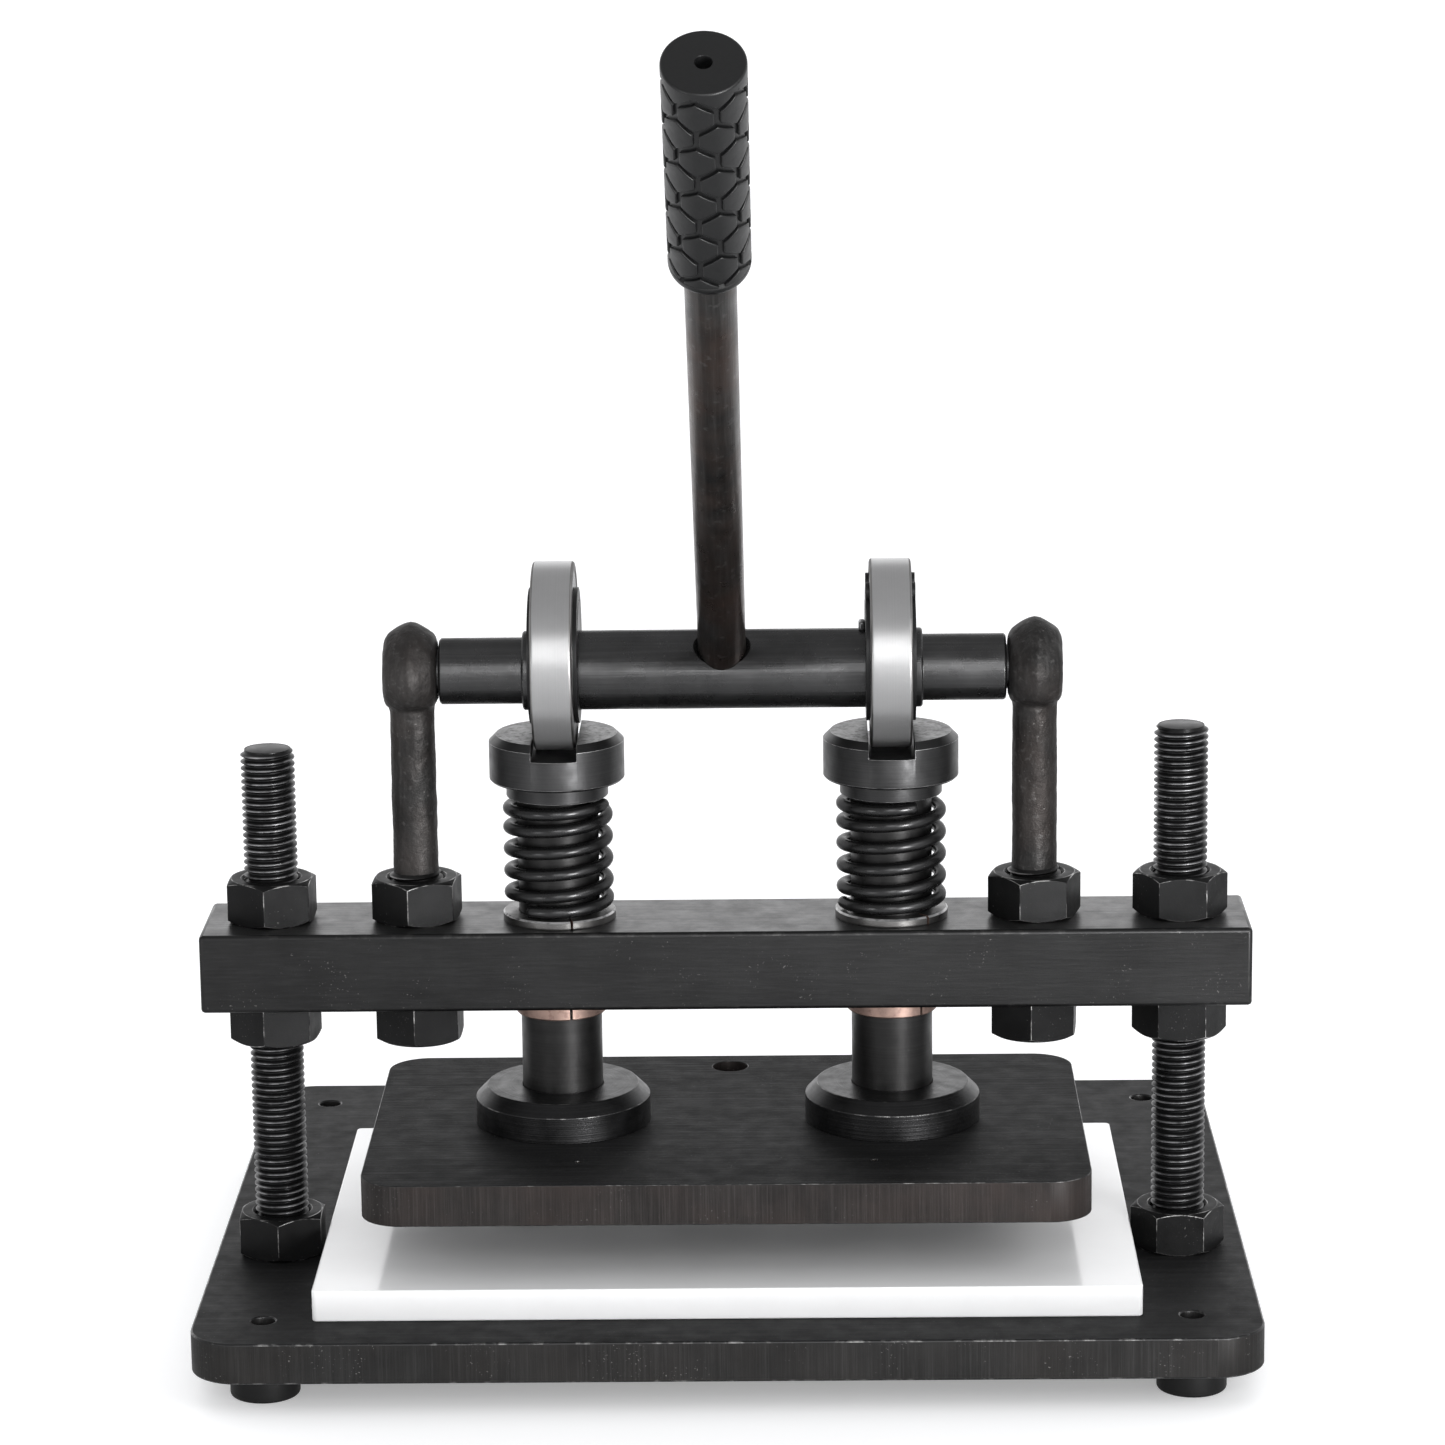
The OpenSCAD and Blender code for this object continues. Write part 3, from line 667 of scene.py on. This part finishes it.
def nut(name, x, z, turn):
    """One hexagon nut with rounded chamfers on both faces and countersunk ends to its bore."""
    af, h, bore, sink = 15 * MM, 16 * MM, 9.95 * MM, 1.1 * MM
    face = af * 0.98  # radius of the flat ring at each end
    ac = af / math.cos(PI / 6)
    ring = [(ac * math.cos(PI / 3 * k), ac * math.sin(PI / 3 * k)) for k in range(6)]
    verts = [(px, py, 0) for px, py in ring] + [(px, py, h) for px, py in ring]
    faces = [tuple(range(5, -1, -1)), tuple(range(6, 12))]
    faces += [(i, (i + 1) % 6, 6 + (i + 1) % 6, 6 + i) for i in range(6)]
    prism = new_object(name, verts, faces)
    wide = ac + 0.6 * MM
    c = (wide - face) * math.tan(PI / 6)
    cone = lathe("cone", [(0, 0), (face, 0), (wide, c), (wide, h - c), (face, h), (0, h)], 96)
    m = prism.modifiers.new("cone", "BOOLEAN")
    m.operation = "INTERSECT"
    m.solver = "EXACT"
    m.object = cone
    bake(prism)
    bpy.data.objects.remove(cone)
    out = bore + sink
    p = [(0, -MM), (out, -MM), (out, 0), (bore, sink)]
    p += [(bore, h - sink), (out, h), (out, h + MM), (0, h + MM)]
    cut(prism, lathe("hole", p, 64))
    bevel(prism, 0.55 * MM, 2, angle=24, flat_area=60 * MM * MM)
    return place(prism, at(x, RY, z) @ Matrix.Rotation(math.radians(turn), 4, "Z"))


for node, body, x, turns in (
    ("base_nuts", "base", ROD_X, (30, 0)),
    ("rod_nuts_lower", "head", ROD_X, (21, 0)),
    ("rod_nuts_upper", "head", ROD_X, (26, 0)),
    ("eye_nuts_lower", "head", EYE_X, (27, 24)),
    ("eye_nuts_upper", "head", EYE_X, (23, 10)),
):
    lo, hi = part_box(node)
    name = node + "_fine"
    pair = join(nut(name, -x, lo.z, turns[0]), nut(name, x, lo.z, turns[1]))
    dress(pair, body, "nut_steel", ["nut", "edge"], node)

# ---------------------------------------------------------------- beam, bushes, eye bolts

lo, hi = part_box("cross_beam")
beam = block(lo, hi)
beam.name = "cross_beam_fine"
for _, sign in SIDES:
    through(beam, sign * ROD_X, RY, 10.5 * MM)
for _, sign in SIDES:
    through(beam, sign * PLUNGER_X, RY, 16.7 * MM, 64)
bevel(beam, 1.5 * MM, 4, flat_area=FACE)
third_material(beam, "beam_top", 0.5, 1.1)
dress(beam, "head", "beam_black", ["beam", "edge_dim", "beam_top"], "cross_beam")

BEAM_TOP = 0.154
for side, x, slit in (("left", -PLUNGER_X, 15), ("right", PLUNGER_X, 39)):
    lo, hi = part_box("bush_" + side)
    inner, outer, rim = 14.97 * MM, 16.6 * MM, 20.5 * MM
    p = [(inner, lo.z + 0.3 * MM), (inner + 0.3 * MM, lo.z)]
    p += [(outer - 0.5 * MM, lo.z), (outer, lo.z + 0.5 * MM)]
    p += [(outer, BEAM_TOP), (rim - 0.2 * MM, BEAM_TOP + 0.02 * MM), (rim, BEAM_TOP + 0.4 * MM)]
    p += [(rim, hi.z - 0.6 * MM), (rim - 0.6 * MM, hi.z), (inner, hi.z)]
    bush = lathe("bush_%s_fine" % side, held(p), 128, close=True, sharp=30)
    slot_cut = block((-0.5 * MM, -0.03, lo.z - 0.01), (0.5 * MM, 0, hi.z + 0.01))
    place(slot_cut, Matrix.Rotation(math.radians(slit), 4, "Z"))
    cut(bush, slot_cut)
    finish = ["copper", "bush_rim", "edge_cap"]
    for m in finish:
        bush.data.materials.append(M[m])
    for f in bush.data.polygons:
        f.material_index = 0 if f.center.z < BEAM_TOP - 0.1 * MM else 2 if 0.3 < f.normal.z < 0.95 else 1
    sharpen(bush, 30)
    place(bush, at(x, RY, 0))
    dress(bush, "head", "bush_copper", finish, "bush_" + side)

HAMMER_CELL, HAMMER_DEPTH = 0.006, 0.5 * MM
for side, sign in SIDES:
    x = sign * EYE_X
    lo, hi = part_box("eye_bolt_" + side)
    w, hole, neck = 9.8 * MM, 8.2 * MM, 8.3 * MM
    half = [(hole, w - 0.7 * MM), (hole + 0.9 * MM, w), (9.6 * MM, w)]
    half += [(11.4 * MM, 9.5 * MM), (12.8 * MM, 8.9 * MM), (13.9 * MM, 8.2 * MM), (15.2 * MM, 6.5 * MM)]
    half += [(16.5 * MM, 4.3 * MM), (17.5 * MM, 2.2 * MM), (18.0 * MM, 0)]
    ring = [(r, -v) for r, v in half] + [(r, v) for r, v in reversed(half[:-1])]
    eye = lathe("eye_bolt_%s_fine" % side, ring, 96, close=True)
    place(eye, at(0, 0, SHAFT_Z) @ ALONG_X)
    zt = 0.1715  # where the thread ends
    p = [(0, zt - 0.004), (8.4 * MM, zt - 0.004), (8.85 * MM, zt + 0.5 * MM), (8.8 * MM, 0.186)]
    p += [(8.55 * MM, 0.2), (8.2 * MM, 0.216), (8.1 * MM, 0.2315), (8.1 * MM, 0.2345), (0, 0.2345)]
    shank = lathe("shank", p, 64)
    hole_cut = lathe("hole", [(0, -0.02), (hole, -0.02), (hole, 0.02), (0, 0.02)], 64)
    cut(shank, place(hole_cut, at(0, 0, SHAFT_Z) @ ALONG_X))
    join(eye, shank)
    for v in eye.data.vertices:  # the ring is drawn in to the neck with a round fillet
        below = SHAFT_Z - 10 * MM - v.co.z
        if below > 0:
            open_by = max(1 - below / (3.6 * MM), 0) ** 2
            reach = math.hypot(v.co.x, v.co.y)
            limit = neck + 7.5 * MM * open_by
            if reach > limit:
                v.co.x, v.co.y = v.co.x * limit / reach, v.co.y * limit / reach
            side_limit = max(w - 0.8 * below, 8.2 * MM)
            v.co.x = min(max(v.co.x, -side_limit), side_limit)
    m = eye.modifiers.new("remesh", "REMESH")
    m.mode = "VOXEL"
    m.voxel_size = 0.5 * MM
    bake(eye)
    m = eye.modifiers.new("smooth", "SMOOTH")
    m.factor = 0.5
    m.iterations = 2
    bake(eye)
    hammer = bpy.data.textures.new("hammer_" + side, "CLOUDS")
    hammer.noise_scale = HAMMER_CELL
    hammer.noise_depth = 2
    m = eye.modifiers.new("hammer", "DISPLACE")
    m.texture = hammer
    m.strength = HAMMER_DEPTH
    m.mid_level = 0.6
    bake(eye)
    screw = thread("screw", z0=lo.z, z1=zt + 0.6 * MM, **THREAD)
    eye.data.materials.append(M["forged"])
    screw.data.materials.append(M["forged"])
    screw.data.materials.append(M["eye_thread"])
    screw.data.polygons.foreach_set("material_index", [1] * len(screw.data.polygons))
    join(eye, screw)
    place(eye, at(x, RY, 0))
    sharpen(eye, 40)
    dress(eye, "head", "forged_steel", ["forged", "eye_thread"], "eye_bolt_" + side)

# ---------------------------------------------------------------- press plate and plungers

lo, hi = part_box("press_plate")
plate = slab("press_plate_fine", lo, hi, 15 * MM, 24)
through(plate, 0, RY + 0.065, 6.75 * MM)
for x in (-0.053, 0.053):  # two small dimples in the top
    cut(plate, drill(x, RY - 0.052, hi.z - 1.2 * MM, hi.z + THROUGH, 1.1 * MM, 20))
bevel(plate, 0.6 * MM, 3, flat_area=FACE)
third_material(plate, "platen_side", -0.5, 0.5)
dress(plate, "press", "platen_steel", ["platen", "edge_soft", "platen_side"], "press_plate")

SLOT_FLOOR, POST_TOP = 0.2172, 0.2132
for side, sign in SIDES:
    x = sign * PLUNGER_X
    lo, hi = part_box("flange_" + side)
    r, c, b = 32 * MM, 4.3 * MM, POST_R
    p = [(b, lo.z), (r, lo.z), (r, hi.z - c), (r - c, hi.z), (b + 0.3 * MM, hi.z), (b, hi.z - 0.3 * MM)]
    ob = lathe("flange_%s_fine" % side, held(p), 160, close=True, sharp=20)
    bevel(ob, 0.25 * MM, 2, angle=25)
    place(ob, at(x, RY, 0))
    dress(ob, "press", "turned_steel", ["flange_" + side, "edge_soft"], "flange_" + side)

    lo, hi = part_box("post_" + side)
    ob = lathe("post_%s_fine" % side, [(0, lo.z), (b, lo.z), (b, hi.z), (0, hi.z)], 96)
    place(ob, at(x, RY, 0))
    dress(ob, "press", "post_steel", ["post_" + side], "post_" + side)

    lo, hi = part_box("cap_" + side)
    r, c, neck, step = 24.5 * MM, 2.6 * MM, 18.5 * MM, 6 * MM
    p = [(0, lo.z), (neck - 0.3 * MM, lo.z), (neck, lo.z + 0.3 * MM), (neck, lo.z + step),
         (r - 0.8 * MM, lo.z + step), (r, lo.z + step + 0.8 * MM), (r, hi.z - c), (r - c, hi.z), (0, hi.z)]
    ob = lathe("cap_%s_fine" % side, held(p), 144, sharp=20)
    cut(ob, block((-8.3 * MM, -0.04, SLOT_FLOOR), (8.3 * MM, 0.04, SLOT_FLOOR + 0.03)))
    cut(ob, drill(0, 0, lo.z - THROUGH, POST_TOP, POST_R, 64))
    bevel(ob, 0.22 * MM, 2, angle=25)
    third_material(ob, "captop_" + side, 0.9, 1.1, above=hi.z - 0.5 * MM)
    place(ob, at(x, RY, 0))
    dress(ob, "press", "turned_steel", ["cap_" + side, "edge_cap", "captop_" + side], "cap_" + side)

# ---------------------------------------------------------------- springs

WIRE, COIL_R = 2.2 * MM, 17.8 * MM  # radius of the wire and of the coil
TURNS, CLOSED = 5.3, 0.75  # all turns, and the turns wound close at each end
for side, x, start in (("left", -PLUNGER_X, 235), ("right", PLUNGER_X, 191)):
    lo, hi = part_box("spring_" + side)
    length = (hi.z - lo.z) - 2 * WIRE
    end = 2 * WIRE * 1.05
    mid = (length - 2 * CLOSED * end) / (TURNS - 2 * CLOSED)
    path = []
    steps = int(TURNS * 64)
    for i in range(steps + 1):
        t = TURNS * i / steps
        low, high = min(t, CLOSED), max(t - TURNS + CLOSED, 0)
        z = end * (low + high) + mid * (t - low - high)
        a = math.radians(start + 360 * t)
        path.append((COIL_R * math.cos(a), COIL_R * math.sin(a), lo.z + WIRE + z))
    ob = tube("spring_%s_fine" % side, path, WIRE, 18)
    place(ob, at(x, RY, 0))
    dress(ob, "press", "spring_black", ["spring"], "spring_" + side)
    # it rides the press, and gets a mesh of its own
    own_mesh(ob)

# ---------------------------------------------------------------- cam shaft and bearings

# the shaft's three radii, and how far from the middle each one reaches
R0, R1, R2 = 14.3 * MM, 12 * MM, 8 * MM
X0, X1, X2 = 72 * MM, 102 * MM, 121.3 * MM
p = [(0, -X2), (R2 - 0.8 * MM, -X2), (R2, -X2 + 0.8 * MM), (R2, -X1), (R1 - 0.7 * MM, -X1)]
p += [(R1, -X1 + 0.7 * MM), (R1, -X0), (R0 - 0.6 * MM, -X0), (R0, -X0 + 0.6 * MM)]
p += [(r, -z) for r, z in reversed(p)]
shaft = place(lathe("cam_shaft_fine", held(p), 128, sharp=25), at(0, RY, SHAFT_Z) @ ALONG_X)
ALONG_LEVER = at(0, RY, SHAFT_Z) @ Matrix.Rotation(LEAN, 4, "X")
p = [(0, -0.006), (8.7 * MM, -0.006), (8.7 * MM, R0 - 1.6 * MM)]
p += [(12.2 * MM, R0 + 1.9 * MM), (12.2 * MM, 0.03), (0, 0.03)]
cut(shaft, place(lathe("hole", p, 64), ALONG_LEVER))
bevel(shaft, 0.2 * MM, 2, angle=30)
for _, sign in SIDES:
    r, w, c = 20 * MM, 9.1 * MM, 0.6 * MM
    hub = lathe("hub", [(0, -w), (r - c, -w), (r, -w + c), (r, w - c), (r - c, w), (0, w)], 96)
    join(shaft, place(hub, at(sign * PLUNGER_X, RY, CAM_Z) @ ALONG_X))
sharpen(shaft, 30)
dress(shaft, "cam", "shaft_steel", ["shaft", "edge_soft"], "cam_shaft")

lo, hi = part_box("cam_key")
KEY_WIDTH = 2.3 * MM  # narrower than its CAD node, as in the photograph
key = block((hi.x - KEY_WIDTH, lo.y, lo.z), (hi.x, hi.y, hi.z - 0.4 * MM))
key.name = "cam_key_fine"
# its rounded edges take the lighter shield steel: partly the key's own lighter grey, partly a painted
# highlight on its top
bevel(key, 0.8 * MM, 3)
dress(key, "cam", "shaft_steel", ["ring", "shield"], "cam_key")

for side, sign in SIDES:
    r, w, ri, c = 34 * MM, 7.5 * MM, 30.5 * MM, 1.1 * MM
    p = [(ri, -w + 0.3 * MM), (ri + 0.4 * MM, -w), (r - c, -w)] + arc(r - c, -w + c, c, -60, 0, 4)
    p += arc(r - c, w - c, c, 0, 60, 4) + [(r - c, w), (ri + 0.4 * MM, w), (ri, w - 0.3 * MM)]
    ob = lathe("bearing_outer_%s_fine" % side, held(p), 192, close=True, sharp=40)
    ob.data.materials.append(M["bearing"])
    ob.data.materials.append(M["bearing_side"])
    for f in ob.data.polygons:
        f.material_index = 1 if abs(f.normal.z) > 0.35 else 0
    place(ob, at(sign * PLUNGER_X, RY, CAM_Z) @ ALONG_X)
    dress(ob, "bearing_" + side, "bearing_steel", ["bearing", "bearing_side"], "bearing_outer_" + side)
    for n in ("bearing_inner_", "bearing_balls_"):
        repaint(n + side, "bearing_side")
    repaint("bearing_shields_" + side, "shield")
    repaint("retaining_rings_" + side, "ring")

# ---------------------------------------------------------------- handle

LEN = 322 * MM  # from the shaft's axis to the end of the grip
BAR_TOP = LEN - 6 * MM
p = [(0, -0.01), (BAR_R, -0.01)] + [(BAR_R, LEN * k / 40) for k in range(41) if LEN * k / 40 < BAR_TOP]
p += [(BAR_R, BAR_TOP), (0, BAR_TOP)]
bar = place(lathe("handle_bar_fine", p, 64), ALONG_LEVER)
dress(bar, "cam", "bar_steel", ["bar"], "handle_bar")

GL, GR = 98 * MM, 13.59 * MM  # the grip's length and its radius over the tiles
core, c0, c1 = GR - 1.1 * MM, 4.6 * MM, 1.0 * MM  # radius between the tiles, roundings of the two ends


def shell(v):
    """The grip's outer radius at height v."""
    if v < c0:
        return GR - c0 + math.sqrt(max(c0 * c0 - (c0 - v) ** 2, 0))
    if v > GL - c1:
        return GR - c1 + math.sqrt(max(c1 * c1 - (v - GL + c1) ** 2, 0))
    return GR


foot_arc = arc(GR - c0, c0, c0, -78, 0, 12)
rim_arc = arc(GR - c1, GL - c1, c1, 0, 84, 8)
p = [(BAR_R, 0), (GR - c0 + 0.3 * MM, 0)] + foot_arc
p += [(GR, 5.2 * MM), (core, 6.0 * MM), (core, GL - 3.6 * MM), (GR, GL - 2.9 * MM)] + rim_arc
p += [(GR - c1, GL), (2.9 * MM, GL), (2.7 * MM, GL - 0.3 * MM)]
p += [(2.7 * MM, GL - 6 * MM), (BAR_R, GL - 6 * MM)]
grip = lathe("handle_grip_fine", p, 120, close=True, sharp=50)


def tile(u0, v0, half_u, half_v, point):
    """A raised six-sided tile wrapped on the grip, cut off where the grip's ends begin.

    u is the angle about the grip, v the height, and point the height of the tile's tips.
    """
    outline = []
    side = half_v - point
    corners = [(half_u, -side), (half_u, side), (0, half_v), (-half_u, side), (-half_u, -side), (0, -half_v)]
    for (ax, ay), (bx, by) in zip(corners, corners[1:] + corners[:1]):
        for k in range(6):
            outline.append((ax + (bx - ax) * k / 6, ay + (by - ay) * k / 6))
    rings = [(1.0, -1.4 * MM), (1.0, -0.42 * MM), (0.985, -0.16 * MM), (0.95, -0.02 * MM)]
    rings += [(0.9, 0), (0.6, 0), (0.3, 0)]
    verts, faces = [], []
    n = len(outline)
    for s, drop in rings + [(0, 0)]:
        for du, dv in outline if s else [(0, 0)]:
            v = min(max(v0 + dv * s, 5.5 * MM), GL - 1.2 * MM)
            rad = shell(v) + drop
            verts.append((rad * math.cos(u0 + du * s), rad * math.sin(u0 + du * s), v))
    for k in range(len(rings) - 1):
        for i in range(n):
            j = (i + 1) % n
            faces.append((k * n + i, k * n + j, (k + 1) * n + j, (k + 1) * n + i))
    last = (len(rings) - 1) * n
    faces += [(last + i, last + (i + 1) % n, len(verts) - 1) for i in range(n)]
    return new_object("tile", verts, faces)


COLS, ROW_STEP, GROOVE = 6, 10.35 * MM, 1.0 * MM
tiles = []
for row in range(-1, 9):
    for col in range(COLS):
        u = math.radians(-90 - 12) + 2 * PI * (col + 0.5 * (row % 2)) / COLS
        v = GL - 11.6 * MM - ROW_STEP * row
        tiles.append(tile(u, v, PI / COLS - GROOVE / GR, 6.27 * MM, 3.87 * MM))
join(grip, *tiles)
fix_normals(grip)
sharpen(grip, 50)
place(grip, ALONG_LEVER @ at(0, 0, LEN - GL))
dress(grip, "cam", "grip_rubber", ["grip"], "handle_grip")

# ---------------------------------------------------------------- stage, lights and camera

floor = new_object("floor", [(-6, -6, 0), (6, -6, 0), (6, 9, 0), (-6, 9, 0)], [(0, 1, 2, 3)])
g = Graph("floor white")
g.b.inputs["Base Color"].default_value = (0.9, 0.905, 0.915, 1)
g.b.inputs["Roughness"].default_value = 0.5
g.b.inputs["Specular IOR Level"].default_value = 0.25
g.b.inputs["Emission Color"].default_value = (1, 1, 1, 1)
g.b.inputs["Emission Strength"].default_value = 0.3
floor.data.materials.append(g.m)

bpy.context.scene.view_settings.view_transform = "Standard"
world = bpy.data.worlds.new("studio")
bpy.context.scene.world = world
world.use_nodes = True
nodes, links = world.node_tree.nodes, world.node_tree.links
nodes.clear()
way = nodes.new("ShaderNodeSeparateXYZ")
links.new(nodes.new("ShaderNodeTexCoord").outputs["Generated"], way.inputs[0])
# dim in front of the press and bright behind it
depth = nodes.new("ShaderNodeValToRGB")
for stop, (at_y, level) in zip(depth.color_ramp.elements, ((0.0, 0.38), (0.25, 1.0))):
    stop.position, stop.color = at_y, (level, level, level * 1.01, 1)
links.new(way.outputs[1], depth.inputs[0])
# and half as bright from above
height = nodes.new("ShaderNodeMapRange")
height.inputs["From Min"].default_value, height.inputs["From Max"].default_value = 0.4, 0.6
links.new(way.outputs[2], height.inputs["Value"])
graded = nodes.new("ShaderNodeMix")
graded.data_type = "RGBA"
graded.inputs[7].default_value = (0.43, 0.43, 0.434, 1)
links.new(height.outputs[0], graded.inputs[0])
links.new(depth.outputs[0], graded.inputs[6])
sky = nodes.new("ShaderNodeBackground")
sky.inputs[1].default_value = 1.75
links.new(graded.outputs[2], sky.inputs[0])
# the camera sees plain white behind the floor; only the lighting is graded
white = nodes.new("ShaderNodeBackground")
white.inputs[0].default_value = (1, 1, 1, 1)
either = nodes.new("ShaderNodeMixShader")
links.new(nodes.new("ShaderNodeLightPath").outputs["Is Camera Ray"], either.inputs[0])
links.new(sky.outputs[0], either.inputs[1])
links.new(white.outputs[0], either.inputs[2])
links.new(either.outputs[0], nodes.new("ShaderNodeOutputWorld").inputs[0])


def area(name, where, target, size, energy, lights_all=True):
    """A softbox. With lights_all off it only shows in glossy surfaces, as a reflector card does."""
    light = bpy.data.lights.new(name, "AREA")
    light.shape = "RECTANGLE"
    light.size, light.size_y = size
    light.energy = energy
    ob = bpy.data.objects.new(name, light)
    bpy.context.scene.collection.objects.link(ob)
    ob.location = where
    ob.rotation_euler = (Vector(target) - Vector(where)).to_track_quat("-Z", "Y").to_euler()
    ob.visible_camera = False
    ob.visible_diffuse = lights_all


area("front", (0, -2.6, 1.0), (0, 0, 0.25), (0.8, 1.5), 26)
area("right", (1.3, -1.0, 1.0), (0, 0, 0.2), (0.8, 0.8), 8)
area("key card", (0.85, -1.5, 0.27), (0, 0, 0.2), (0.3, 0.5), 42, lights_all=False)
area("left card", (-1.15, -1.3, 0.27), (0, 0, 0.2), (0.3, 0.5), 5, lights_all=False)

cam = bpy.data.cameras.new("camera")
cam_ob = bpy.data.objects.new("camera", cam)
bpy.context.scene.collection.objects.link(cam_ob)
bpy.context.scene.camera = cam_ob
# the camera that was fitted to the photograph
FOCAL_PIXELS, PHOTO_PIXELS = 4918.0, 1445
WHERE = (0.0285, RY - 1.734, 0.6201)
tilt, roll, yaw = (math.radians(v) for v in (12.80, 0.71, -0.95))
fwd = Vector((math.sin(yaw) * math.cos(tilt), math.cos(yaw) * math.cos(tilt), -math.sin(tilt)))
right = Vector((math.cos(yaw), -math.sin(yaw), 0))
down = fwd.cross(right)
right, down = right * math.cos(roll) + down * math.sin(roll), down * math.cos(roll) - right * math.sin(roll)
cam_ob.matrix_world = at(*WHERE) @ Matrix((right, -down, -fwd)).transposed().to_4x4()
cam.sensor_width = 36
cam.lens = cam.sensor_width * FOCAL_PIXELS / PHOTO_PIXELS
cam.clip_end = 30
